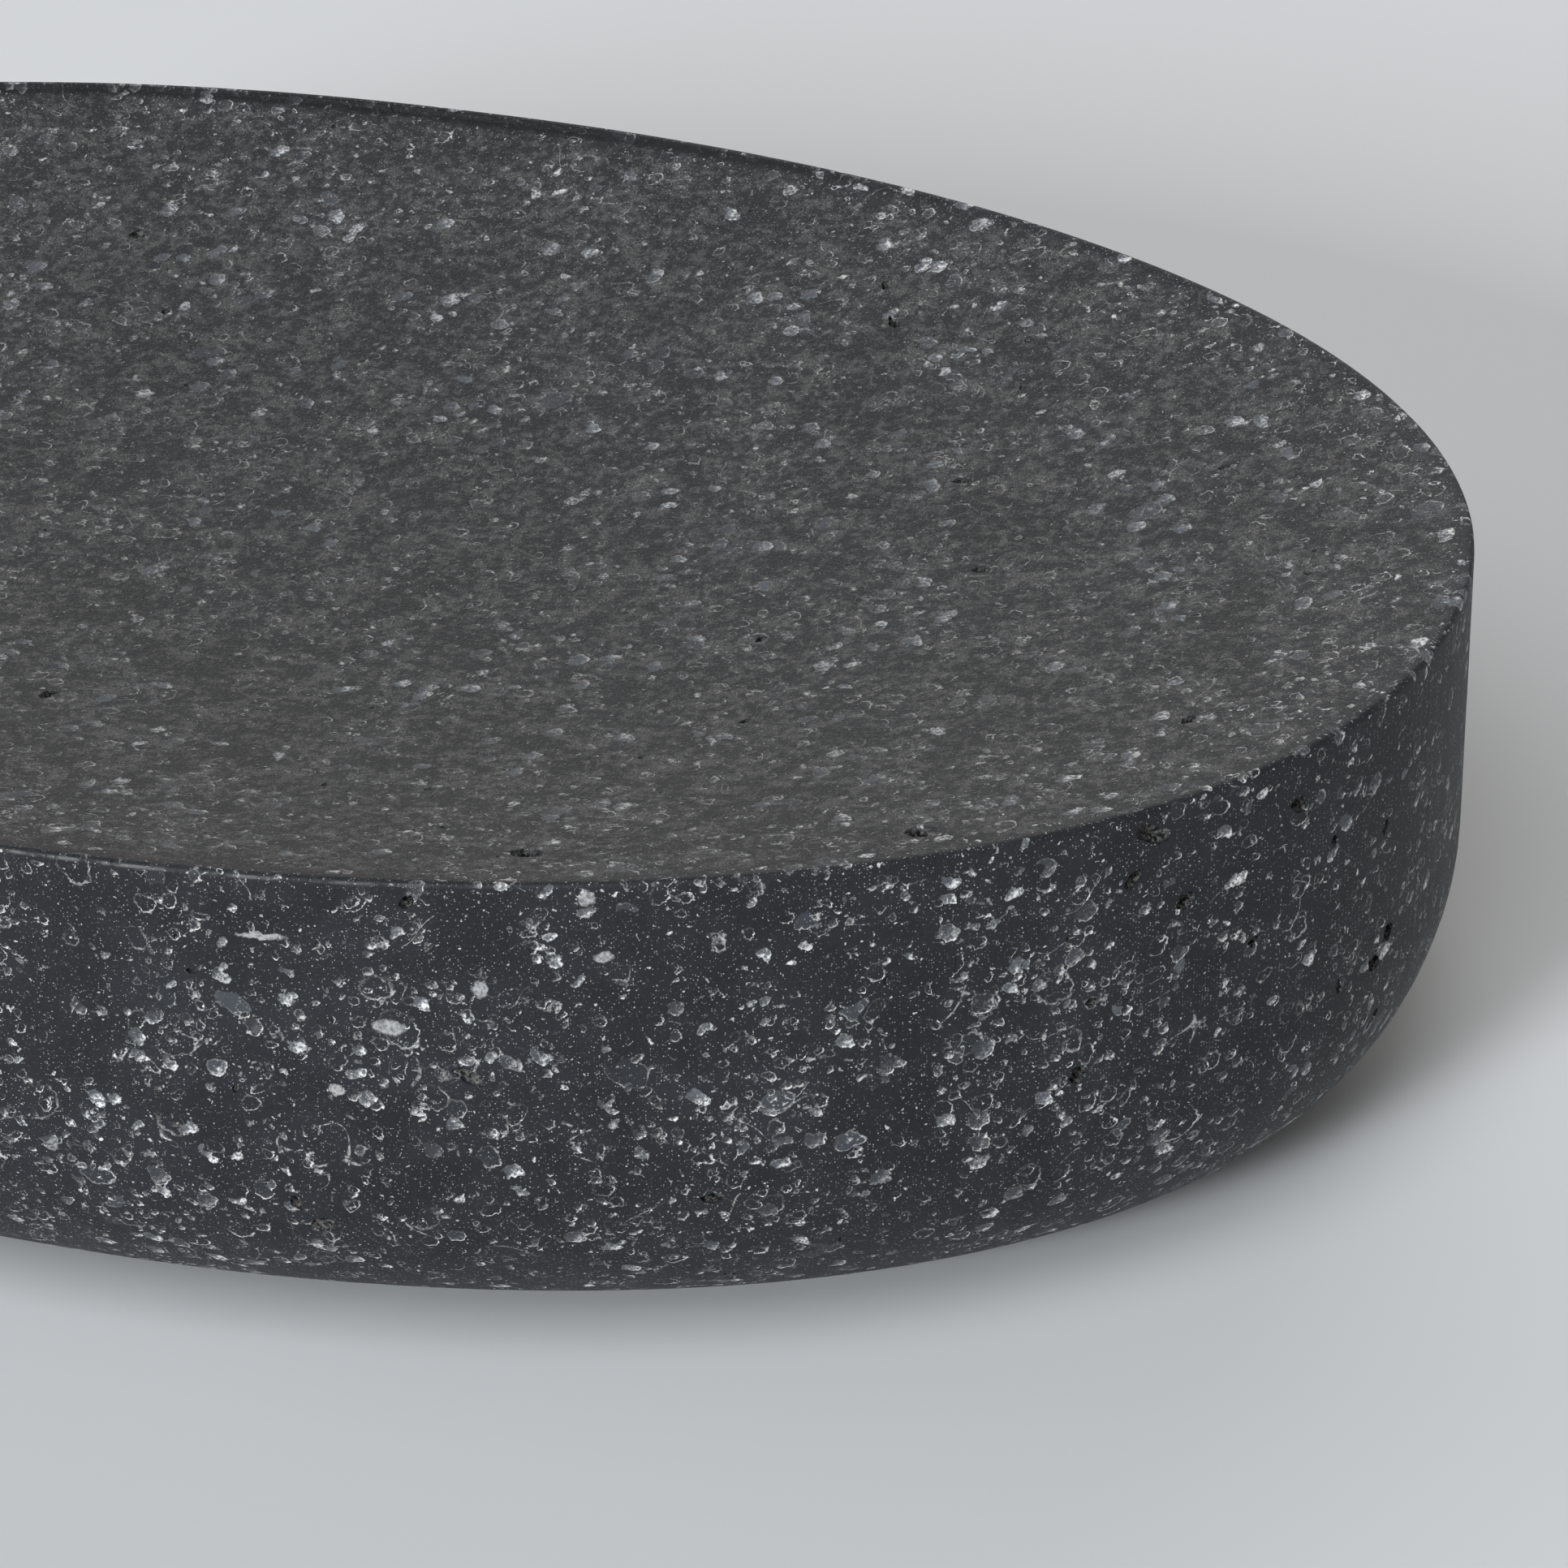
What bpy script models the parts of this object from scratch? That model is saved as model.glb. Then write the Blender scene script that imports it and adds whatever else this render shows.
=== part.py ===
"""A basalt massage stone: one thick oval stone with a flat base, a rounded lower edge,
an upright side and a shallow dished top that meets the side in a crisp, lightly eased rim.

Lengths are in metres. +Z is up and the stone rests on z = 0, with its long axis along X.
"""

import math

import bmesh
import bpy

# Driving dimensions
LENGTH = 0.110  # across the rim, along X
WIDTH = 0.068  # across the rim, along Y
HEIGHT = 0.0255  # base to rim
PLAN_POWER = 2.10  # 2 would be a true ellipse; a little more fills out the oval's shoulders
BASE_ROUNDING = 0.012  # radius of the lower edge
DISH_DEPTH = 0.0055  # rim to the lowest point of the dish
RIM_EASE = 0.0006  # width of the worn band along the rim

# How finely the curved faces are divided
OUTLINE_POINTS = 80
ROUNDING_STEPS = 8
DISH_RINGS = 9
EASE_STEPS = 2

# The blank stands this far above the rim before the dish is cut, and the dish's surface
# runs on past the rim by this share of its half width, so that the two cross cleanly.
BLANK_SPARE = 0.006
DISH_OVERRUN = 0.16
RIM_MIN_ANGLE = math.radians(40)  # an edge bent more than this is a rim, not a curved face
FLAT_MAX_ANGLE = math.radians(1)  # faces bent less than this are one flat face
WELD = 1e-6

STONE_COLOUR = (0.036, 0.038, 0.043, 1.0)
STONE_ROUGHNESS = 0.72


def clear_scene():
    for obj in list(bpy.data.objects):
        bpy.data.objects.remove(obj, do_unlink=True)


def new_collection(name):
    collection = bpy.data.collections.new(name)
    bpy.context.scene.collection.children.link(collection)
    return collection


def oval_point(angle, share=1.0):
    """The plan position at this angle on the rim's superellipse, or on a smaller or larger
    copy of it about the same centre."""
    cosine, sine = math.cos(angle), math.sin(angle)
    x = math.copysign(abs(cosine) ** (2 / PLAN_POWER), cosine) * LENGTH / 2
    y = math.copysign(abs(sine) ** (2 / PLAN_POWER), sine) * WIDTH / 2
    return share * x, share * y


def dish_height(share):
    """The dish is a round-bottomed bowl: its section across the stone is an arc through the
    two rims, and every other section is that arc stretched to the oval."""
    half = WIDTH / 2
    radius = (half**2 + DISH_DEPTH**2) / (2 * DISH_DEPTH)
    centre = HEIGHT - DISH_DEPTH + radius
    return centre - math.sqrt(radius**2 - (share * half) ** 2)


def stone_material():
    material = bpy.data.materials.new("basalt")
    material.use_nodes = True
    shader = material.node_tree.nodes["Principled BSDF"]
    shader.inputs["Base Color"].default_value = STONE_COLOUR
    shader.inputs["Roughness"].default_value = STONE_ROUGHNESS
    shader.inputs["Metallic"].default_value = 0.0
    material.diffuse_color = STONE_COLOUR
    return material


def oval_blank():
    """The stone before its dish is cut: the outline extruded from the base to above the rim,
    as a welded mesh."""
    tall = HEIGHT + BLANK_SPARE
    curve = bpy.data.curves.new("outline", "CURVE")
    curve.dimensions = "2D"
    curve.fill_mode = "BOTH"
    curve.extrude = tall / 2
    spline = curve.splines.new("POLY")
    spline.points.add(OUTLINE_POINTS - 1)
    for i, point in enumerate(spline.points):
        point.co = (*oval_point(math.tau * i / OUTLINE_POINTS), 0.0, 1.0)
    spline.use_cyclic_u = True

    outline = bpy.data.objects.new("outline", curve)
    outline.location.z = tall / 2
    bpy.context.scene.collection.objects.link(outline)
    bpy.context.view_layer.update()
    evaluated = outline.evaluated_get(bpy.context.evaluated_depsgraph_get())
    mesh = bpy.data.meshes.new_from_object(evaluated)
    mesh.name = "stone_body"
    place = outline.matrix_world.copy()
    bpy.data.objects.remove(outline, do_unlink=True)

    shell = bmesh.new()
    shell.from_mesh(mesh)
    bmesh.ops.remove_doubles(shell, verts=shell.verts, dist=WELD)
    # Each flat end becomes one face, so that the rounding can run across it.
    bmesh.ops.dissolve_limit(
        shell, angle_limit=FLAT_MAX_ANGLE, verts=shell.verts, edges=shell.edges
    )
    bmesh.ops.recalc_face_normals(shell, faces=shell.faces)
    weight = shell.edges.layers.float.new("bevel_weight_edge")
    for edge in shell.edges:
        lower = all(vert.co.z < 0 for vert in edge.verts)
        edge[weight] = 1.0 if lower and edge.calc_face_angle(0.0) > RIM_MIN_ANGLE else 0.0
    shell.to_mesh(mesh)
    shell.free()

    body = bpy.data.objects.new("stone_body", mesh)
    body.matrix_world = place
    return body


def dish_cutter():
    """A lens whose underside is the dish. Its bowl profile is turned about Z on a circle of
    radius 1 and then each ring is drawn out to the stone's oval."""
    widest = 1 + DISH_OVERRUN
    shares = [widest * i / DISH_RINGS for i in range(DISH_RINGS, -1, -1)]
    top = dish_height(widest) + BLANK_SPARE
    profile = [(0.0, top), (widest, top)] + [(share, dish_height(share)) for share in shares]

    lens = bmesh.new()
    verts = [lens.verts.new((share, 0.0, height)) for share, height in profile]
    for first, second in zip(verts, verts[1:]):
        lens.edges.new((first, second))
    bmesh.ops.spin(
        lens,
        geom=lens.verts[:] + lens.edges[:],
        cent=(0, 0, 0),
        axis=(0, 0, 1),
        angle=math.tau,
        steps=OUTLINE_POINTS,
        use_merge=True,
    )
    bmesh.ops.remove_doubles(lens, verts=lens.verts, dist=WELD)
    half_step = math.pi / OUTLINE_POINTS  # keeps the lens's edges off those of the side
    for vert in lens.verts:
        share = math.hypot(vert.co.x, vert.co.y)
        angle = math.atan2(vert.co.y, vert.co.x) + half_step
        vert.co.x, vert.co.y = oval_point(angle, share)
    bmesh.ops.recalc_face_normals(lens, faces=lens.faces)

    mesh = bpy.data.meshes.new("dish_cutter")
    lens.to_mesh(mesh)
    lens.free()
    cutter = bpy.data.objects.new("dish_cutter", mesh)
    cutter.hide_render = True
    cutter.display_type = "WIRE"
    return cutter


def massage_stone(parts, cutters):
    body = oval_blank()
    parts.objects.link(body)
    body.data.materials.clear()
    body.data.materials.append(stone_material())

    rounding = body.modifiers.new("lower edge", "BEVEL")
    rounding.limit_method = "WEIGHT"
    rounding.offset_type = "OFFSET"
    rounding.width = BASE_ROUNDING
    rounding.segments = ROUNDING_STEPS

    cutter = dish_cutter()
    cutters.objects.link(cutter)
    dish = body.modifiers.new("dish", "BOOLEAN")
    dish.operation = "DIFFERENCE"
    dish.solver = "EXACT"
    dish.object = cutter

    ease = body.modifiers.new("eased rim", "BEVEL")
    ease.limit_method = "ANGLE"
    ease.angle_limit = RIM_MIN_ANGLE
    ease.offset_type = "WIDTH"
    ease.width = RIM_EASE
    ease.segments = EASE_STEPS

    body.data.shade_smooth()
    body.data.set_sharp_from_angle(angle=RIM_MIN_ANGLE)
    return body


def main():
    clear_scene()
    parts = new_collection("massage_stone")
    cutters = new_collection("cutters")
    massage_stone(parts, cutters)


main()
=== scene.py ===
import math
import random
from collections import namedtuple

import bmesh
import bpy
import numpy as np
from mathutils import Matrix, Vector, noise

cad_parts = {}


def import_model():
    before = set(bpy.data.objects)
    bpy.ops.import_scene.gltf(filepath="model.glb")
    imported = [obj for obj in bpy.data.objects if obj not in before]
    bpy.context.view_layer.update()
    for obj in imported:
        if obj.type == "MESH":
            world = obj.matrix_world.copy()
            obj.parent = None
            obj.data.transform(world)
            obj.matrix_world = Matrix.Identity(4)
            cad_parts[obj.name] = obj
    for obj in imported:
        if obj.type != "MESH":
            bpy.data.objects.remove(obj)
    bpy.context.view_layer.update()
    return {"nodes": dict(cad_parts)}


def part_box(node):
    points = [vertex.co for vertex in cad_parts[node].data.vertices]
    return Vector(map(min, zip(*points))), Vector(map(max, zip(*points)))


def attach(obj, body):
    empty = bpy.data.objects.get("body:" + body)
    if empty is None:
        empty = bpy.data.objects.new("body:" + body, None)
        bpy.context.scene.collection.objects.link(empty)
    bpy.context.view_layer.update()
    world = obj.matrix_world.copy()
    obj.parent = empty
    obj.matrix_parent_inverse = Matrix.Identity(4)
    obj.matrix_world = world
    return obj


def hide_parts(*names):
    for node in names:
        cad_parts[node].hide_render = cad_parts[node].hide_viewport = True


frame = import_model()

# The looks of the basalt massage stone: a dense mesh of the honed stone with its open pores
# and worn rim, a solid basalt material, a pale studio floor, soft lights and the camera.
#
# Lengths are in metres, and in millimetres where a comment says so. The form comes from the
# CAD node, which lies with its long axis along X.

MM = 0.001

# ---------------------------------------------------------------- the stone's form
PLAN_POWER = 2.10  # the superellipse of the CAD outline
RIM_EASE = 0.45 * MM  # how far the worn band along the rim reaches in and down
LIP = 0.17 * MM  # the usual height of the rim above the dish beside it
LIP_WAVES = 9  # how many times the lip swells and thins around the rim
LIP_SWELL = 0.35  # the share of its height by which it does
LIP_END = 0.75  # where it would run out to the right, as a share of the half length
LIP_AT_RIGHT = 0.15  # the share of its height that is left at the stone's right end
LIP_START = 0.60  # how far out in the dish the lip starts to rise, as a share
LIP_RISE = 0.35  # the share over which it rises
CENTRE_REACH = 0.5 * MM  # CAD points this near the axis belong to the dish's or base's middle
TINY_SHARE, TINY_GROWTH = 1e-6, 1e-9  # keep divisions finite on the stone's axis

low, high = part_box("stone_body")
half_length, half_width, rim_height = high.x, high.y, high.z
cad_points = np.array([vert.co for vert in frame["nodes"]["stone_body"].data.vertices])
flat_base = cad_points[cad_points[:, 2] < 0.01 * MM]
rounding = half_length - flat_base[:, 0].max()
near_axis = np.hypot(cad_points[:, 0], cad_points[:, 1]) < CENTRE_REACH
dish_low = cad_points[near_axis & (cad_points[:, 2] > rounding), 2].min()
dish_depth = rim_height - dish_low
dish_radius = (half_width**2 + dish_depth**2) / (2 * dish_depth)


def oval(angle):
    """Points on the outline. The angle is measured with the oval stretched to a circle."""
    cosine, sine = np.cos(angle), np.sin(angle)
    reach = (np.abs(cosine) ** PLAN_POWER + np.abs(sine) ** PLAN_POWER) ** (-1 / PLAN_POWER)
    return np.stack([half_length * reach * cosine, half_width * reach * sine], axis=-1)


def share_of(x, y):
    """0 on the stone's axis and 1 on the outline."""
    powers = np.abs(x / half_length) ** PLAN_POWER + np.abs(y / half_width) ** PLAN_POWER
    return powers ** (1 / PLAN_POWER)


def outward(x, y):
    """The outline's unit normal in plan, and how fast the share grows along it."""
    share = np.maximum(share_of(x, y), TINY_SHARE)
    u, v = x / half_length, y / half_width
    along_x = np.sign(u) * np.abs(u / share) ** (PLAN_POWER - 1) / half_length
    along_y = np.sign(v) * np.abs(v / share) ** (PLAN_POWER - 1) / half_width
    size = np.maximum(np.hypot(along_x, along_y), TINY_GROWTH)
    return np.stack([along_x / size, along_y / size], axis=-1), size


def dish_height(x, y):
    reach = share_of(x, y) * half_width
    return dish_low + dish_radius - np.sqrt(dish_radius**2 - reach**2)


def lip_height(x, y):
    """How far the rim stands proud of the dish, which the grinding tool has cut a little
    deeper towards the stone's left end. It fades out away from the rim."""
    around = np.arctan2(y / half_width, x / half_length)
    uneven = 1 + LIP_SWELL * np.sin(LIP_WAVES * around)
    leftward = np.clip((LIP_END * half_length - x) / half_length, LIP_AT_RIGHT, 1)
    rising = np.clip((share_of(x, y) - LIP_START) / LIP_RISE, 0, 1)
    return LIP * uneven * leftward * rising


def length_along(angles):
    """The length of the outline from the first of these angles to each of them."""
    steps = np.linalg.norm(np.diff(oval(angles), axis=0), axis=1)
    return np.concatenate([[0], np.cumsum(steps)])


def even_angles(count):
    """Angles that divide the outline into equal lengths."""
    fine = np.linspace(0, math.tau, 16 * count + 1)
    length = length_along(fine)
    return np.interp(np.arange(count) / count * length[-1], length, fine)


def depths(points):
    """How deep each point lies below the side, the dish and the base."""
    x, y, z = points.T
    _, growth = outward(x, y)
    side = (1 - share_of(x, y)) / growth
    turned = (z < rounding) & (side < rounding)
    side = np.where(turned, rounding - np.hypot(rounding - side, rounding - z), side)
    return np.stack([side, dish_height(x, y) - lip_height(x, y) - z, z], axis=-1)


# ---------------------------------------------------------------- the stone's mesh
AROUND = 420
DISH_RINGS = 56
RIM_RINGS = 6
SIDE_RINGS = 18
ROUNDING_RINGS = 22
BASE_RINGS = 24
OUTER_DISH_SHARE = 0.975
# Rings where the dish climbs the lip: inset from the outline, and share of the lip still below.
LIP_RINGS = ((0.76 * MM, 1.0), (0.62 * MM, 0.9), (0.53 * MM, 0.2))

# How far honing has worn the surface, at most, in slow and in quick waves this far apart.
SLOW_WEAR, SLOW_WAVE = 0.055 * MM, 11 * MM
QUICK_WEAR, QUICK_WAVE = 0.018 * MM, 3.5 * MM
QUICK_SHIFT = Vector((7.3, 1.9, 4.2))  # keeps the two waves apart
TRUE_BASE = 0.3 * MM  # below this height the stone is sawn flat, with no waver


def profile_rings():
    """The rings of the surface from the middle of the dish over the rim to the middle of
    the base, each an array of points."""
    plan = oval(even_angles(AROUND))
    normals, _ = outward(plan[:, 0], plan[:, 1])

    def ring(flat, height):
        return np.column_stack([flat, np.broadcast_to(height, len(flat))])

    def inset(distance):
        return plan - distance * normals

    rings = []
    for i in range(1, DISH_RINGS + 1):
        flat = plan * OUTER_DISH_SHARE * i / DISH_RINGS
        rings.append(ring(flat, dish_height(*flat.T) - lip_height(*flat.T)))
    for distance, sunk in LIP_RINGS:
        flat = inset(distance)
        rings.append(ring(flat, dish_height(*flat.T) - sunk * lip_height(*flat.T)))
    inner = inset(RIM_EASE)
    start = ring(inner, dish_height(*inner.T))
    corner, end = ring(plan, rim_height), ring(plan, rim_height - RIM_EASE)
    for i in range(RIM_RINGS + 1):
        t = i / RIM_RINGS
        rings.append((1 - t) ** 2 * start + 2 * t * (1 - t) * corner + t**2 * end)
    top, bottom = rim_height - RIM_EASE, rounding
    for i in range(1, SIDE_RINGS + 1):
        rings.append(ring(plan, top + (bottom - top) * i / SIDE_RINGS))
    for i in range(1, ROUNDING_RINGS + 1):
        turn = math.pi / 2 * i / ROUNDING_RINGS
        flat = inset(rounding * (1 - math.cos(turn)))
        rings.append(ring(flat, rounding * (1 - math.sin(turn))))
    base = inset(rounding)
    for i in range(BASE_RINGS - 1, 0, -1):
        rings.append(ring(base * i / BASE_RINGS, 0.0))
    return rings


def honed_waver(point):
    """How far the hand-honed surface falls short of the true form at a point."""
    slow = noise.noise(point / SLOW_WAVE)
    quick = noise.noise(point / QUICK_WAVE + QUICK_SHIFT)
    return (SLOW_WEAR * (slow + 1) + QUICK_WEAR * (quick + 1)) / 2


def closed_surface():
    """The rings joined into one closed mesh, with the waver of honing."""
    rings = profile_rings()
    points = [(0.0, 0.0, dish_low)]
    points += [tuple(point) for ring in rings for point in ring]
    points.append((0.0, 0.0, 0.0))
    last = len(points) - 1
    faces = []
    for i in range(AROUND):
        j = (i + 1) % AROUND
        faces.append((0, 1 + i, 1 + j))
        for row in range(len(rings) - 1):
            a, b = 1 + row * AROUND, 1 + (row + 1) * AROUND
            faces.append((a + i, b + i, b + j, a + j))
        a = 1 + (len(rings) - 1) * AROUND
        faces.append((a + i, last, a + j))
    mesh = bpy.data.meshes.new("basalt_stone")
    mesh.from_pydata(points, [], faces)
    mesh.update()
    for vert, normal in zip(mesh.vertices, [v.normal.copy() for v in mesh.vertices]):
        if vert.co.z > TRUE_BASE:
            vert.co -= normal * honed_waver(vert.co)
    return mesh


# ---------------------------------------------------------------- open pores
# Pores that stand out on the side: the angle on the outline in degrees, and the height, the
# radius across and the depth in millimetres.
SIDE_PORES = (
    (-21.9, 22.9, 0.42, 0.60),
    (-33.6, 22.4, 0.40, 0.55),
    (-32.5, 24.2, 0.60, 0.45),
    (-30.3, 20.6, 0.38, 0.50),
    (-36.0, 17.1, 0.26, 0.40),
    (-36.8, 13.8, 0.42, 0.55),
    (-18.5, 20.2, 0.24, 0.45),
    (-12.8, 19.1, 0.28, 0.45),
    (-11.8, 13.7, 0.38, 0.70),
    (-13.4, 12.7, 0.42, 0.80),
    (-12.6, 9.6, 0.34, 0.60),
    (-67.6, 24.4, 0.30, 0.45),
    (-65.5, 16.4, 0.46, 0.25),
    (-72.3, 8.5, 0.55, 0.30),
    (-55.1, 10.3, 0.36, 0.50),
)
# Pores that stand out in the dish: x, y, the radius across and the depth in millimetres.
DISH_PORES = (
    (24.2, -26.8, 0.55, 0.45),
    (38.5, -21.6, 0.62, 0.45),
    (46.1, -9.7, 0.34, 0.50),
    (-1.1, -16.7, 0.40, 0.45),
    (33.6, 3.2, 0.34, 0.45),
)
# How many more there are, placed at random.
SMALL_SIDE_PORES = 70
SMALL_DISH_PORES = 60
SMALL_BASE_PORES = 34
RIM_NICKS = 30
PORE_SPACING = 1.6  # between the middles of two pores, times the sum of their radii
DISH_SHARE_WITH_PORES = 0.96
BASE_SHARE_WITH_PORES = 0.62
NICK_DROP = 0.12 * MM  # of a nick's middle below the rim
# How much a pore's wall swells, and how often across it.
LARGE_LUMPS = (0.42, 1.3)
SMALL_LUMPS = (0.16, 4.1)


def side_place(angle, height):
    """A point of the side or of its lower rounding, and the outward normal there."""
    x, y = oval(math.radians(angle))
    (nx, ny), _ = outward(np.float64(x), np.float64(y))
    turn = math.asin(min(1, max(0, 1 - height / rounding)))
    drawn_in = rounding * (1 - math.cos(turn))
    place = Vector((x - drawn_in * nx, y - drawn_in * ny, height))
    return place, Vector((nx * math.cos(turn), ny * math.cos(turn), -math.sin(turn)))


def dish_place(x, y):
    step = 0.05 * MM
    height = float(dish_height(x, y))
    slope_x = (float(dish_height(x + step, y)) - height) / step
    slope_y = (float(dish_height(x, y + step)) - height) / step
    return Vector((x, y, height)), Vector((-slope_x, -slope_y, 1)).normalized()


def pore_places(rng):
    """Yields (place, normal, radius across, depth) for every pore and nick, with none
    touching another."""
    taken = []

    def clear_of(place, radius, other, size):
        return (place - other).length > PORE_SPACING * (radius + size)

    def free(place, radius):
        clear = all(clear_of(place, radius, *pore) for pore in taken)
        if clear:
            taken.append((place, radius))
        return clear

    for angle, height, across, depth in SIDE_PORES:
        place, normal = side_place(angle, height * MM)
        if free(place, across * MM):
            yield place, normal, across * MM, depth * MM
    for x, y, across, depth in DISH_PORES:
        place, normal = dish_place(x * MM, y * MM)
        if free(place, across * MM):
            yield place, normal, across * MM, depth * MM

    def small():
        across = (0.11 + 0.30 * rng.random() ** 2.5) * MM
        return across, across * rng.uniform(0.9, 1.6)

    for _ in range(SMALL_SIDE_PORES):
        across, depth = small()
        place, normal = side_place(rng.uniform(-180, 180), rng.uniform(1.5, 24) * MM)
        if free(place, across):
            yield place, normal, across, depth
    for _ in range(SMALL_DISH_PORES):
        across, depth = small()
        share, angle = DISH_SHARE_WITH_PORES * math.sqrt(rng.random()), rng.uniform(0, math.tau)
        x, y = oval(angle) * share
        place, normal = dish_place(x, y)
        if free(place, across):
            yield place, normal, across, depth
    for _ in range(SMALL_BASE_PORES):
        across, depth = small()
        x, y = oval(rng.uniform(0, math.tau)) * BASE_SHARE_WITH_PORES * math.sqrt(rng.random())
        place = Vector((x, y, 0))
        if free(place, across):
            yield place, Vector((0, 0, -1)), across, depth
    for _ in range(RIM_NICKS):
        across = rng.uniform(0.12, 0.36) * MM
        place, normal = side_place(rng.uniform(-180, 180), rim_height - NICK_DROP)
        normal = (normal + Vector((0, 0, 0.8))).normalized()
        if free(place, across):
            yield place, normal, across, 0.6 * across


def lumps(kind, place, offset):
    height, pace = kind
    return height * noise.noise(pace * place + offset)


def pore_cutters():
    """One rough blob for each pore, half sunk in the stone."""
    rng = random.Random(20)
    blobs = bmesh.new()
    for place, normal, across, depth in pore_places(rng):
        turn = normal.to_track_quat("Z", "Y").to_matrix() @ Matrix.Rotation(
            rng.uniform(0, math.tau), 3, "Z"
        )
        stretch = rng.uniform(1.0, 1.45)
        sizes = Vector((across * stretch, across / stretch, depth))
        offset = Vector((rng.uniform(0, 50), rng.uniform(0, 50), rng.uniform(0, 50)))
        for vert in bmesh.ops.create_icosphere(blobs, subdivisions=3, radius=1.0)["verts"]:
            swell = 1 + lumps(LARGE_LUMPS, vert.co, offset) + lumps(SMALL_LUMPS, vert.co, -offset)
            vert.co = place + turn @ (vert.co * swell * sizes)
    mesh = bpy.data.meshes.new("pore_cutters")
    blobs.to_mesh(mesh)
    blobs.free()
    cutters = bpy.data.objects.new("pore_cutters", mesh)
    bpy.context.scene.collection.objects.link(cutters)
    return cutters


def cut_pores(stone):
    """Cuts the pores into the stone's mesh for good."""
    cutters = pore_cutters()
    cut = stone.modifiers.new("pores", "BOOLEAN")
    cut.operation, cut.solver, cut.object = "DIFFERENCE", "MANIFOLD", cutters
    bpy.context.view_layer.update()
    evaluated = stone.evaluated_get(bpy.context.evaluated_depsgraph_get())
    mesh = bpy.data.meshes.new_from_object(evaluated)
    stone.modifiers.clear()
    old, stone.data = stone.data, mesh
    bpy.data.meshes.remove(old)
    bpy.data.objects.remove(cutters, do_unlink=True)


# ---------------------------------------------------------------- marks and map
RIM_REACH = 3  # millimetres to each side of the rim over which the distance is kept
WELL_INSIDE = 12  # millimetres in from the outline
ON_DISH = 1.0  # millimetres: points deeper than this below the dish aren't part of it
MAP_GAP = 2 * MM  # between the pieces of the map
MAP_STEPS = 4000
SHARP_ANGLE = math.radians(42)


def mark_surface(mesh):
    """Stores three values at each point: how deep it lies in a pore, how far it is across
    the rim, inwards over the dish or, below zero, down the side, both in millimetres, and
    how far into the dish it is, from 0 at the rim to 1 well inside."""
    points = np.empty(len(mesh.vertices) * 3)
    mesh.vertices.foreach_get("co", points)
    points = points.reshape(-1, 3)
    side, dish, base = depths(points).T / MM
    hollow = np.clip(np.minimum(np.minimum(side, dish), base), 0, None)
    across = np.clip(side, 0, RIM_REACH) - np.clip(dish, 0, RIM_REACH)
    dished = np.clip(side / WELL_INSIDE, 0, 1) * (dish < ON_DISH)
    for name, values in (("hollow", hollow), ("across", across), ("dished", dished)):
        mark = mesh.attributes.new(name, "FLOAT", "POINT")
        mark.data.foreach_set("value", values.astype(np.float32))


def unwrap(mesh):
    """A map at one scale all over: the side as two strips, the dish and the base seen
    square on above them, with the base a quarter turned."""
    turned_under = rounding * math.pi / 2
    strip = turned_under + rim_height - rounding + MAP_GAP
    base_length, base_width = half_length - rounding, half_width - rounding
    sheet = 2 * strip + 2 * base_length + 3 * MAP_GAP

    corner_points = np.empty(len(mesh.loops), np.int64)
    mesh.loops.foreach_get("vertex_index", corner_points)
    points = np.empty(len(mesh.vertices) * 3)
    mesh.vertices.foreach_get("co", points)
    x, y, z = points.reshape(-1, 3)[corner_points].T
    face_sizes = np.array([face.loop_total for face in mesh.polygons])
    centres = np.array([face.center for face in mesh.polygons])
    region = np.repeat(depths(centres).argmin(axis=1), face_sizes)
    centres = np.repeat(centres, face_sizes, axis=0)

    # The side: how far along the outline, and how far up from the edge of the base.
    angle = np.arctan2(y / half_width, x / half_length)
    middle = np.arctan2(centres[:, 1] / half_width, centres[:, 0] / half_length)
    angle = middle + (angle - middle + math.pi) % math.tau - math.pi
    second = middle >= 0
    fine = np.linspace(-math.pi, math.pi, MAP_STEPS + 1)
    length = length_along(fine)
    along = np.interp(angle, fine, length) - np.where(second, length[MAP_STEPS // 2], 0)
    _, growth = outward(x, y)
    inside = (1 - share_of(x, y)) / growth
    turn = np.arctan2(rounding - inside, rounding - np.minimum(z, rounding))
    rise = np.where(z < rounding, turn * rounding, turned_under + z - rounding)
    lift = np.where(second, strip, 0)
    side = np.stack([MAP_GAP + along, MAP_GAP + rise + lift], axis=-1)

    above = 2 * strip + MAP_GAP
    dish = np.stack([MAP_GAP + half_length + x, above + half_width + y], axis=-1)
    base_middle = 2 * MAP_GAP + 2 * half_length + base_width
    base = np.stack([base_middle + y, above + base_length + x], axis=-1)
    flat = np.select([region[:, None] == 0, region[:, None] == 1], [side, dish], base)
    layer = mesh.uv_layers.new(name="OFBake")
    layer.data.foreach_set("uv", (flat / sheet).ravel().astype(np.float32))


def basalt_stone():
    stone = bpy.data.objects.new("basalt_stone", closed_surface())
    bpy.context.scene.collection.objects.link(stone)
    cut_pores(stone)
    mark_surface(stone.data)
    unwrap(stone.data)
    stone.data.shade_smooth()
    stone.data.set_sharp_from_angle(angle=SHARP_ANGLE)
    stone.data.materials.clear()
    stone.data.materials.append(basalt())
    return stone


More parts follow.
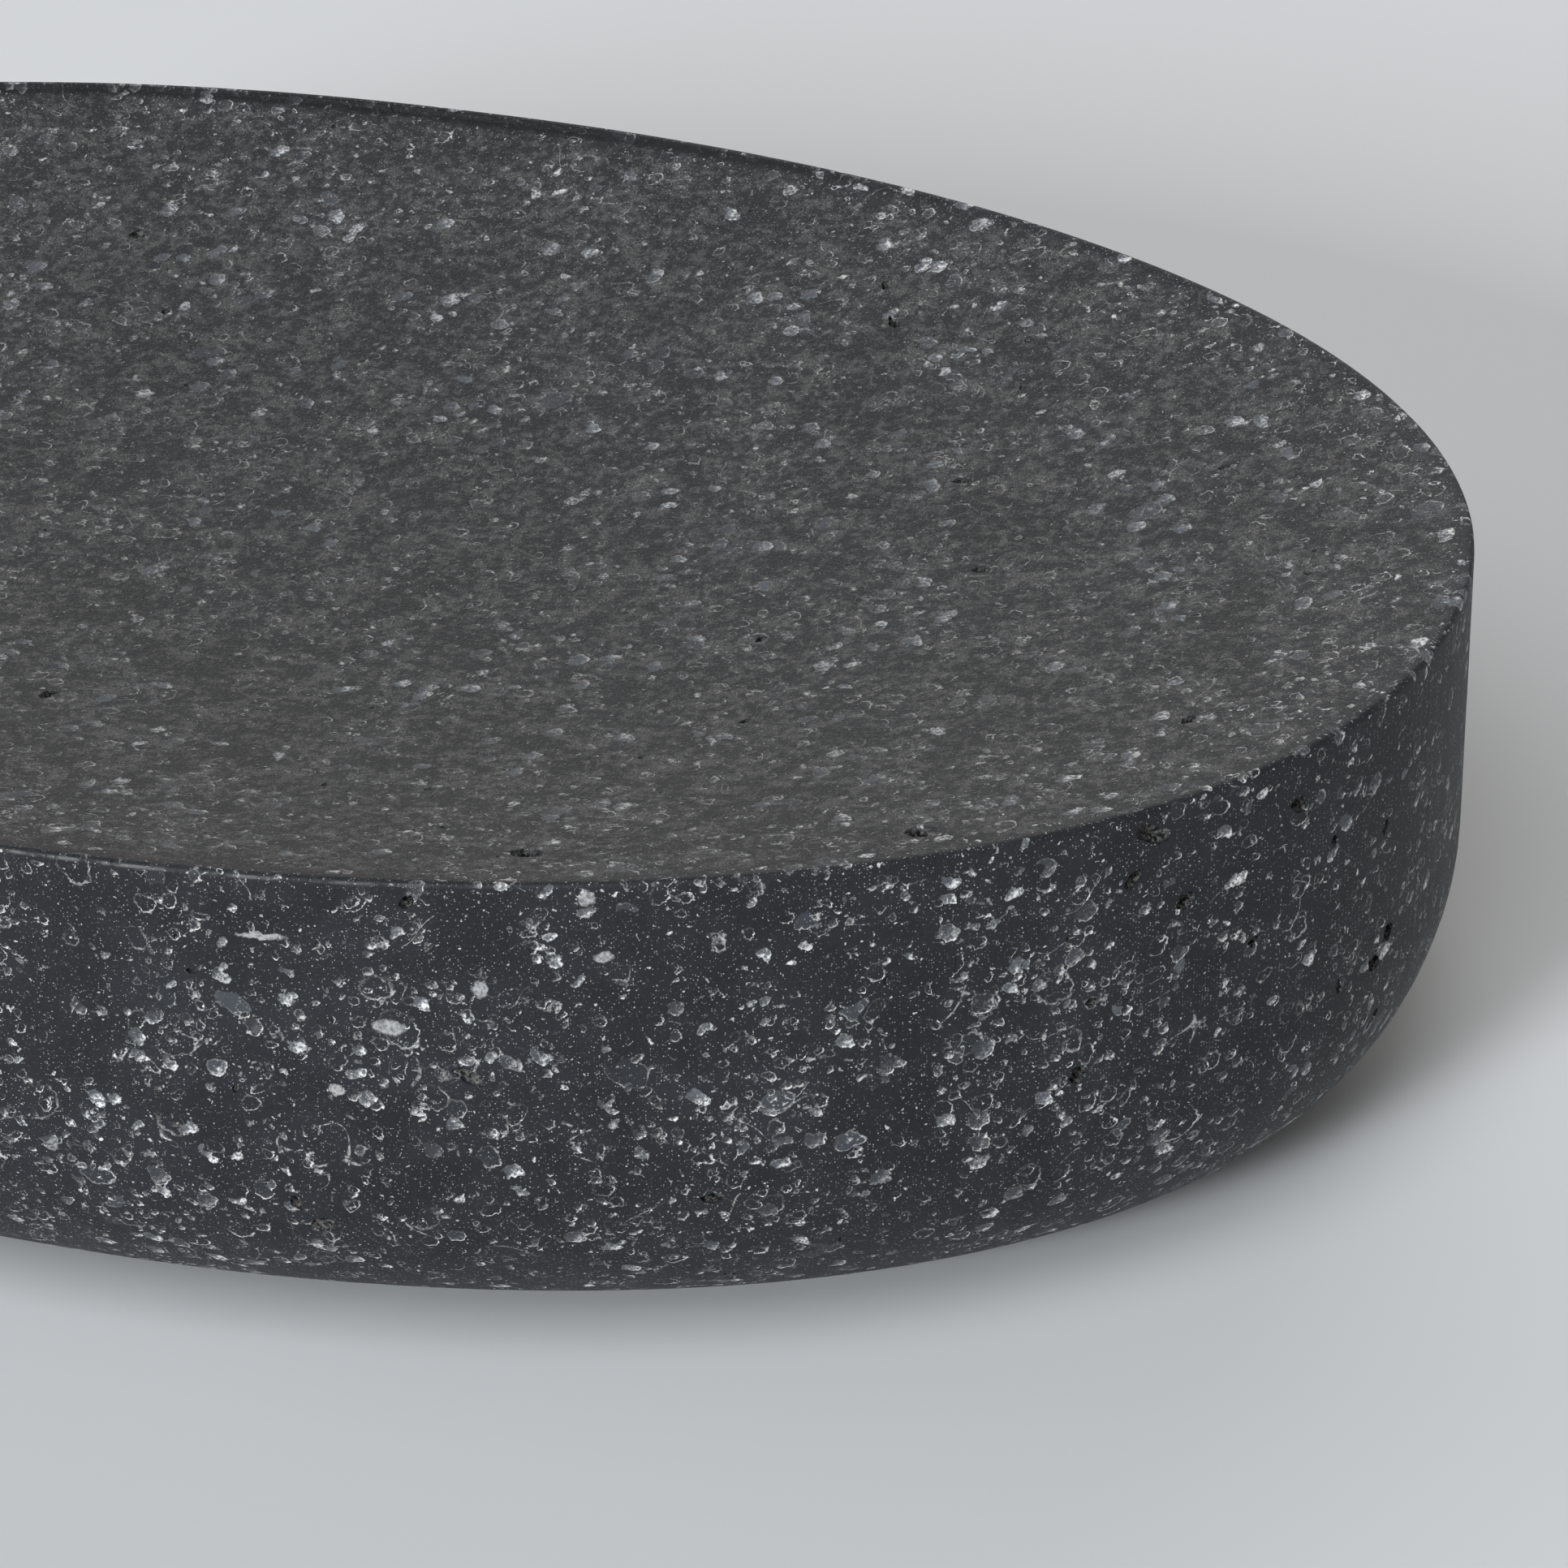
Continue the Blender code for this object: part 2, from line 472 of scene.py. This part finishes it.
# ---------------------------------------------------------------- the basalt
class Net:
    """Short calls for building the nodes of a material or a world. Values may be sockets
    or plain."""

    def __init__(self, owner):
        owner.use_nodes = True
        self.tree = owner.node_tree
        self.shader = self.tree.nodes.get("Principled BSDF") or self.tree.nodes["Background"]

    def put(self, socket, value):
        if isinstance(value, bpy.types.NodeSocket):
            self.tree.links.new(value, socket)
        elif value is not None:
            socket.default_value = value

    def node(self, kind, values=(), **settings):
        made = self.tree.nodes.new(kind)
        for name, setting in settings.items():
            setattr(made, name, setting)
        for i, value in enumerate(values):
            self.put(made.inputs[i], value)
        return made

    def math(self, operation, *values, clamp=False):
        return self.node("ShaderNodeMath", values, operation=operation, use_clamp=clamp).outputs[0]

    def vector(self, operation, *values):
        made = self.node("ShaderNodeVectorMath", operation=operation)
        for socket, value in zip(made.inputs, values):
            self.put(socket, value)
        return made.outputs["Value" if operation in ("DOT_PRODUCT", "LENGTH") else "Vector"]

    def scaled(self, vector, factor):
        made = self.node("ShaderNodeVectorMath", operation="SCALE")
        self.put(made.inputs[0], vector)
        self.put(made.inputs["Scale"], factor)
        return made.outputs[0]

    def noise(self, place, size, detail=2.0, rough=0.5):
        """A noise whose features are about this many millimetres across."""
        made = self.node("ShaderNodeTexNoise")
        self.put(made.inputs["Vector"], place)
        made.inputs["Scale"].default_value = 1 / size
        made.inputs["Detail"].default_value = detail
        made.inputs["Roughness"].default_value = rough
        return made.outputs

    def ramp(self, value, start, end, to_start=0.0, to_end=1.0):
        made = self.node("ShaderNodeMapRange", interpolation_type="SMOOTHSTEP")
        for name, setting in (
            ("Value", value),
            ("From Min", start),
            ("From Max", end),
            ("To Min", to_start),
            ("To Max", to_end),
        ):
            self.put(made.inputs[name], setting)
        return made.outputs[0]

    def blend(self, factor, first, second):
        made = self.node("ShaderNodeMix", data_type="RGBA")
        self.put(made.inputs["Factor"], factor)
        self.put(made.inputs[6], first)
        self.put(made.inputs[7], second)
        return made.outputs[2]

    def product(self, first, *others):
        for other in others:
            first = self.math("MULTIPLY", first, other)
        return first

    def most(self, first, *others):
        for other in others:
            first = self.math("MAXIMUM", first, other)
        return first

    def line(self, value, slope, start):
        """The value times the slope, plus the start."""
        return self.math("MULTIPLY_ADD", value, slope, start)

    def attribute(self, name):
        return self.node("ShaderNodeAttribute", attribute_name=name).outputs["Fac"]

    def cells(self, place, scale):
        made = self.node("ShaderNodeTexVoronoi", feature="F1")
        self.put(made.inputs["Vector"], place)
        made.inputs["Scale"].default_value = scale
        chances = self.node("ShaderNodeSeparateColor", (made.outputs["Color"],)).outputs
        return made.outputs, chances


MATRIX_DARK = (0.0070, 0.0078, 0.0095, 1)
MATRIX_LIGHT = (0.0225, 0.0245, 0.0295, 1)
# The dish's charcoal: a mottle of its own, made paler as painted sheen.
DISH_DARK = (0.040, 0.040, 0.040, 1)
DISH_LIGHT = (0.125, 0.124, 0.122, 1)
SMOKE = (0.090, 0.101, 0.116, 1)
CRYSTAL_COOL = (0.76, 0.79, 0.83, 1)
CRYSTAL_WARM = (0.84, 0.80, 0.74, 1)
# Painted shadow of the lip: a dark line just inside the rim.
RIM_SHADOW = (0.008, 0.008, 0.009, 1)
# Painted highlight along the rim's edge.
RIM_HIGHLIGHT = (0.300, 0.290, 0.280, 1)
# Painted shade in the pores.
PORE_SHADE = (0.006, 0.006, 0.007, 1)
PORE_CRUMB = (0.13, 0.125, 0.115, 1)
# How strong the painted shadow inside the rim is.
RIM_SHADOW_STRENGTH = 0.75
WARP = 0.62  # millimetres, twice the most that the warp moves a crystal's outline

# Heights in millimetres.
OUTLINE_HEIGHT = 0.022
SIDE_ROUGHNESS = 0.04
DISH_ROUGHNESS = 0.09  # more than on the side

# Pale flakes that stand out on the side: their middles and half sizes, in millimetres.
FLAKES = (
    ((15.6, -33.0, 22.5), (1.10, 0.7, 0.17)),
    ((20.2, -32.1, 18.6), (0.66, 0.6, 0.42)),
    ((23.7, -31.2, 20.5), (0.28, 0.5, 0.46)),
    ((27.8, -30.0, 24.7), (0.34, 0.5, 0.36)),
    ((28.4, -29.8, 22.0), (0.42, 0.5, 0.30)),
    ((18.0, -32.6, 15.5), (0.36, 0.5, 0.26)),
)
# Drifts where crystals crowd, on the side and in the dish.
DRIFTS = (
    ((44.9, -20.8, 17.0), (1.6, 2.2, 8.5)),
    ((20.5, -32.0, 18.0), (5.5, 2.5, 2.6)),
    ((33.0, -28.0, 14.5), (4.5, 2.5, 2.2)),
    ((27.0, 18.0, 22.6), (3.2, 2.4, 2.0)),
    ((3.0, 20.0, 21.9), (3.0, 2.0, 2.0)),
    ((-16.5, 21.0, 22.6), (2.6, 2.0, 2.0)),
)


def patch(net, place, middle, half_sizes):
    """1 in the middle of a soft-edged ellipsoid and 0 outside it."""
    away = net.vector("SUBTRACT", place, middle)
    away = net.vector("MULTIPLY", away, tuple(1 / size for size in half_sizes))
    return net.ramp(net.vector("LENGTH", away), 1.12, 0.75)


def patches(net, place, places):
    covered = patch(net, place, *places[0])
    for middle, half_sizes in places[1:]:
        covered = net.math("MAXIMUM", covered, patch(net, place, middle, half_sizes))
    return covered


# Crystals come in three sizes. Each lies about this many millimetres apart, shows in a share
# of its places that grows where crystals crowd, is set off from the others by a shift, has
# an outline this strong, and leaves a hollow this deep, in millimetres, where it broke out.
CrystalSize = namedtuple("CrystalSize", "apart crowded fewest shift outline hollow")
BIG = CrystalSize(apart=2.1, crowded=0.36, fewest=0.08, shift=3.1, outline=0.55, hollow=0.05)
MIDDLE = CrystalSize(apart=1.12, crowded=0.66, fewest=0.34, shift=11.7, outline=0.95, hollow=0.06)
SMALL = CrystalSize(apart=0.58, crowded=0.60, fewest=0.10, shift=23.9, outline=0.8, hollow=0.03)

# Painted highlight: each crystal is painted lighter on this side, to the right and downwards,
# where the light falls on it.
LIT_SIDE = (0.62, 0.25, -0.75)
CRYSTAL_STRETCH = 1.6
SMALLEST_RADIUS, RADIUS_SPREAD = 0.22, 0.28  # shares of the distance between crystals

# What the surface shows of one size of crystal.
Grains = namedtuple("Grains", "size outline inside torn_part tone")


def grains(net, place, crowd, size):
    """Crystals cut through by the surface, as rough rounded blobs: their outlines, their insides,
    the parts of those on one side, and a random tone for each crystal. The outlines and those
    parts carry a painted highlight that is lighter on that side."""
    shift = (size.shift, 1.7 * size.shift, -size.shift)
    scaled = net.vector("ADD", net.scaled(place, 1 / size.apart), shift)
    cells, chance = net.cells(scaled, 1.0)
    offset = net.vector("SUBTRACT", scaled, cells["Position"])
    axis = net.vector("MULTIPLY_ADD", cells["Color"], (2, 2, 2), (-1, -1, -1))
    along = net.vector("DOT_PRODUCT", offset, axis)
    flattened = net.product(along, along, CRYSTAL_STRETCH)
    squared = net.math("ADD", flattened, net.vector("DOT_PRODUCT", offset, offset))
    radius = net.line(chance[0], RADIUS_SPREAD, SMALLEST_RADIUS)
    beyond = net.math("SUBTRACT", net.math("SQRT", squared), radius)
    beyond = net.product(beyond, size.apart)

    share = net.line(crowd, size.crowded, size.fewest)
    chosen = net.ramp(net.math("SUBTRACT", share, chance[1]), 0.0, 0.03)
    # Painted highlight: each crystal is lighter on the side where the light falls.
    lit_share = net.ramp(net.vector("DOT_PRODUCT", offset, LIT_SIDE), -0.16, 0.22, 0.22, 1.0)
    width = 0.034 + 0.014 * size.apart
    outline = net.ramp(net.math("ABSOLUTE", beyond), width, 0.35 * width)
    inside = net.product(net.ramp(beyond, 0.01, -0.04), chosen)
    return Grains(
        size=size,
        outline=net.product(outline, lit_share, chosen),
        inside=inside,
        torn_part=net.product(inside, lit_share, lit_share),
        tone=chance[2],
    )


def specks(net, place, apart, share, most):
    """Tiny grains about this many millimetres apart, in this share of the places."""
    cells, chance = net.cells(place, 1 / apart)
    radius = net.line(chance[1], 0.20, 0.12)
    spot = net.ramp(net.math("SUBTRACT", cells["Distance"], radius), 0.10, -0.10)
    return net.product(spot, net.ramp(chance[0], 1 - share, 1.0, 0.0, most))


def filled(net, part, tone, share, most):
    """The parts that belong to this share of the crystals."""
    return net.product(part, net.ramp(tone, 1 - share, 1.0, 0.0, most))


def pale_parts(net, place, warped, clump, layers, shred):
    """How much of each place is pale crystal. Also returns the crystals' outlines."""
    broken = net.ramp(shred, 0.42, 0.60)
    patchy = net.ramp(net.noise(place, 0.8, 1.0)[0], 0.36, 0.60)
    outlines = [net.product(layer.outline, layer.size.outline) for layer in layers]
    edges = net.product(net.most(*outlines), net.line(broken, 0.65, 0.35))
    edges = net.product(edges, net.line(patchy, 0.95, 0.30))

    # Some crystals are crumbled and white, with a painted highlight that keeps them to their lit
    # side.
    _, middle, small = layers
    lit_crumbs = net.most(
        filled(net, middle.torn_part, middle.tone, 0.50, 1.4),
        filled(net, small.torn_part, small.tone, 0.60, 1.3),
    )
    lit_crumbs = net.product(lit_crumbs, net.line(broken, 0.88, 0.12))
    flakes = net.product(patches(net, warped, FLAKES), net.ramp(shred, 0.36, 0.62, 0.22, 0.52))

    # Fine hairlines lie where the wandering contour of a noise shows.
    contour = net.math("ABSOLUTE", net.math("SUBTRACT", net.noise(place, 5.0, 1.0)[0], 0.5))
    hairlines = net.product(net.ramp(contour, 0.0034, 0.0010), net.ramp(clump, 0.56, 0.62))
    hairlines = net.product(hairlines, net.line(broken, 0.4, 0.05))

    dust = net.most(
        specks(net, place, 0.09, 0.50, 0.52),
        specks(net, warped, 0.20, 0.20, 0.66),
    )
    pale = net.most(edges, lit_crumbs, flakes, hairlines)
    return net.math("MAXIMUM", pale, dust, clamp=True), edges


def ground_mass(net, place, crowd, clump, in_dish, layers):
    """The charcoal between the crystals, paler and mottled in the dish, which is partly painted
    sheen, and the smoky, half clear crystals in it."""
    tone = net.line(crowd, 0.40, net.product(net.noise(place, 0.11, 2.0)[0], 0.7))
    matrix = net.blend(tone, MATRIX_DARK, MATRIX_LIGHT)
    # Painted sheen in part: in the dish the charcoal is paler, in a mottle.
    mottle = net.line(net.noise(place, 0.55, 2.0, 0.7)[0], 0.75, net.product(clump, 0.25))
    mottle = net.product(in_dish, net.ramp(mottle, 0.44, 0.62, 0.15, 1.0))
    grit = net.ramp(net.noise(place, 0.085, 2.0, 0.7)[0], 0.40, 0.62)
    matrix = net.blend(mottle, matrix, net.blend(grit, DISH_DARK, DISH_LIGHT))
    big, middle, _ = layers
    smoke = net.most(
        filled(net, big.inside, big.tone, 0.30, 0.50),
        filled(net, middle.inside, middle.tone, 0.60, 0.80),
    )
    return net.blend(smoke, matrix, SMOKE)


def rim_highlight_and_shadow(net, place, colour):
    """Towards the left the rim's edge has a painted highlight, with a painted shadow just inside
    it as a dark line.
    """
    across = net.attribute("across")
    leftward = net.node("ShaderNodeSeparateXYZ", (place,)).outputs["X"]
    leftward = net.ramp(leftward, 30.0, 10.0)
    # Painted shadow of the lip: a dark line just inside the rim.
    line = net.product(net.ramp(across, 0.30, 0.48), net.ramp(across, 1.10, 0.70))
    line = net.product(line, leftward, RIM_SHADOW_STRENGTH)
    colour = net.blend(line, colour, RIM_SHADOW)
    # Painted highlight on the rim's edge, in patches.
    edge = net.product(net.ramp(across, -0.24, -0.12), net.ramp(across, 0.04, -0.06))
    highlight_patches = net.ramp(net.noise(place, 1.4, 3.0, 0.7)[0], 0.40, 0.60, 0.03, 0.42)
    return net.blend(net.product(edge, leftward, highlight_patches), colour, RIM_HIGHLIGHT)


def relief(net, layers, edges, shred, in_dish):
    """The height of the surface in millimetres: raised outlines, hollows where crystals
    have broken out, and the roughness that honing left, which is coarser in the dish."""
    height = net.product(edges, OUTLINE_HEIGHT)
    for layer in layers:
        broken_out = net.ramp(layer.tone, 0.85, 0.25, 0.0, -layer.size.hollow)
        height = net.math("ADD", height, net.product(layer.inside, broken_out))
    rough = net.line(in_dish, DISH_ROUGHNESS, SIDE_ROUGHNESS)
    return net.math("ADD", height, net.product(shred, rough))


def basalt():
    material = bpy.data.materials.new("basalt")
    net = Net(material)
    place = net.scaled(net.node("ShaderNodeTexCoord").outputs["Object"], 1 / MM)

    # Crystal outlines are irregular: the warp bends them.
    bend = net.vector("SUBTRACT", net.noise(place, 0.55, 3.0, 0.62)[1], (0.5, 0.5, 0.5))
    warped = net.vector("MULTIPLY_ADD", bend, (WARP, WARP, WARP), place)
    shred = net.noise(place, 0.17, 2.0, 0.65)[0]

    # Crystals crowd in drifts and thin out between them.
    clump = net.noise(place, 1.9, 1.0)[0]
    crowd = net.line(net.noise(place, 6.0, 2.0, 0.6)[0], 0.5, net.product(clump, 0.5))
    crowd = net.line(patches(net, warped, DRIFTS), 0.45, net.ramp(crowd, 0.36, 0.64))
    layers = [grains(net, warped, crowd, size) for size in (BIG, MIDDLE, SMALL)]

    # The dish is ground finer towards its middle, so its grains are duller there.
    dished = net.attribute("dished")
    in_dish = net.ramp(dished, 0.0, 0.15)
    pale, edges = pale_parts(net, place, warped, clump, layers, shred)
    pale = net.product(pale, net.line(dished, -0.45, 1.0))

    ground = ground_mass(net, place, crowd, clump, in_dish, layers)
    crystal = net.blend(net.noise(place, 2.7, 1.0)[0], CRYSTAL_COOL, CRYSTAL_WARM)
    colour = rim_highlight_and_shadow(net, place, net.blend(pale, ground, crystal))

    # The floor of a pore is painted dark as shade, with pale crumbs.
    in_pore = net.ramp(net.attribute("hollow"), 0.09, 0.22)
    crumbs_in_pore = net.ramp(shred, 0.42, 0.60)
    colour = net.blend(in_pore, colour, net.blend(crumbs_in_pore, PORE_SHADE, PORE_CRUMB))

    shader = net.shader.inputs
    net.put(shader["Base Color"], colour)
    net.put(shader["Roughness"], net.line(pale, 0.16, 0.60))
    shader["Specular IOR Level"].default_value = 0.28
    bump = net.node("ShaderNodeBump")
    bump.inputs["Strength"].default_value = 1.0
    bump.inputs["Distance"].default_value = MM
    net.put(bump.inputs["Height"], relief(net, layers, edges, shred, in_dish))
    net.put(shader["Normal"], bump.outputs["Normal"])
    return material


# ---------------------------------------------------------------- studio
FLOOR_REACH = 28 * half_length  # from the stone to each edge of the floor
FLOOR_GAP = 0.02 * MM  # keeps the floor's face off the stone's base
FLOOR_COLOUR = (0.75, 0.755, 0.76, 1)
WORLD_COLOUR = (1.0, 0.985, 0.96, 1)
# How bright the world is at the horizon in front of the stone and behind it, and overhead.
HORIZON_IN_FRONT, HORIZON_BEHIND, OVERHEAD = 0.28, 0.54, 0.10
LIGHT_DISTANCE = 2.0
# The soft boxes: azimuth and elevation in degrees, size, power in watts and colour. Azimuth
# 0 is the front and 90 the right.
LIGHTS = {
    "key_light": (-15, 22, 0.40, 29.0, (0.905, 0.955, 1.0)),
    "left_light": (-80, 22, 0.75, 4.0, (0.94, 0.97, 1.0)),
    "back_light": (197, 31, 2.10, 16.0, (1.0, 0.985, 0.96)),
    "top_light": (0, 54, 1.10, 17.0, (0.93, 0.965, 1.0)),
}


def floor():
    mesh = bpy.data.meshes.new("floor")
    far = FLOOR_REACH
    corners = [(-far, -far, 0), (far, -far, 0), (far, far, 0), (-far, far, 0)]
    mesh.from_pydata(corners, [], [(0, 1, 2, 3)])
    surface = bpy.data.objects.new("floor", mesh)
    surface.location.z = low.z - FLOOR_GAP
    bpy.context.scene.collection.objects.link(surface)
    material = bpy.data.materials.new("studio_floor")
    net = Net(material)
    net.shader.inputs["Base Color"].default_value = FLOOR_COLOUR
    net.shader.inputs["Roughness"].default_value = 0.8
    mesh.materials.append(material)
    return surface


def soft_light(name, target, azimuth, elevation, size, power, colour):
    """A square soft box that faces the target."""
    turn, lift = math.radians(azimuth), math.radians(elevation)
    level = math.cos(lift)
    away = Vector((math.sin(turn) * level, -math.cos(turn) * level, math.sin(lift)))
    data = bpy.data.lights.new(name, "AREA")
    data.size, data.energy, data.color = size, power, colour
    light = bpy.data.objects.new(name, data)
    light.location = target + LIGHT_DISTANCE * away
    light.rotation_euler = away.to_track_quat("Z", "Y").to_euler()
    bpy.context.scene.collection.objects.link(light)


def world():
    """A dim world, brighter behind the stone and towards the horizon."""
    made = bpy.data.worlds.new("studio")
    net = Net(made)
    net.shader.inputs["Color"].default_value = WORLD_COLOUR
    direction = net.node("ShaderNodeTexCoord").outputs["Generated"]
    towards = net.node("ShaderNodeSeparateXYZ", (direction,)).outputs
    horizon = net.ramp(towards["Y"], -0.6, 0.6, HORIZON_IN_FRONT, HORIZON_BEHIND)
    strength = net.ramp(towards["Z"], 0.0, 0.7, horizon, OVERHEAD)
    net.put(net.shader.inputs["Strength"], strength)
    bpy.context.scene.world = made


def studio():
    floor()
    world()
    middle = Vector((0, 0, rim_height))
    for name, settings in LIGHTS.items():
        soft_light(name, middle, *settings)


# ---------------------------------------------------------------- camera
# The camera looks at a point on the rim's plane, given in half lengths and half widths.
AIM = (0.596, -0.618)
CAMERA_AZIMUTH = 19.05
CAMERA_ELEVATION = 31.84
CAMERA_ROLL = -1.26
CAMERA_DISTANCE = 3.92  # half lengths
FIELD_OF_VIEW = 16.14


def camera():
    data = bpy.data.cameras.new("camera")
    data.angle = math.radians(FIELD_OF_VIEW)
    data.clip_start, data.clip_end = 0.01, 20
    made = bpy.data.objects.new("camera", data)
    bpy.context.scene.collection.objects.link(made)
    aim = Vector((AIM[0] * half_length, AIM[1] * half_width, rim_height))
    turn = Matrix.Rotation(math.radians(CAMERA_AZIMUTH), 4, "Z")
    turn @= Matrix.Rotation(math.radians(90 - CAMERA_ELEVATION), 4, "X")
    turn @= Matrix.Rotation(math.radians(CAMERA_ROLL), 4, "Z")
    distance = CAMERA_DISTANCE * half_length
    made.matrix_world = Matrix.Translation(aim) @ turn @ Matrix.Translation((0, 0, distance))
    bpy.context.scene.camera = made


# ---------------------------------------------------------------- the scene
stone = basalt_stone()
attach(stone, "root")
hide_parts("stone_body")
studio()
camera()
bpy.context.scene.view_settings.view_transform = "Standard"
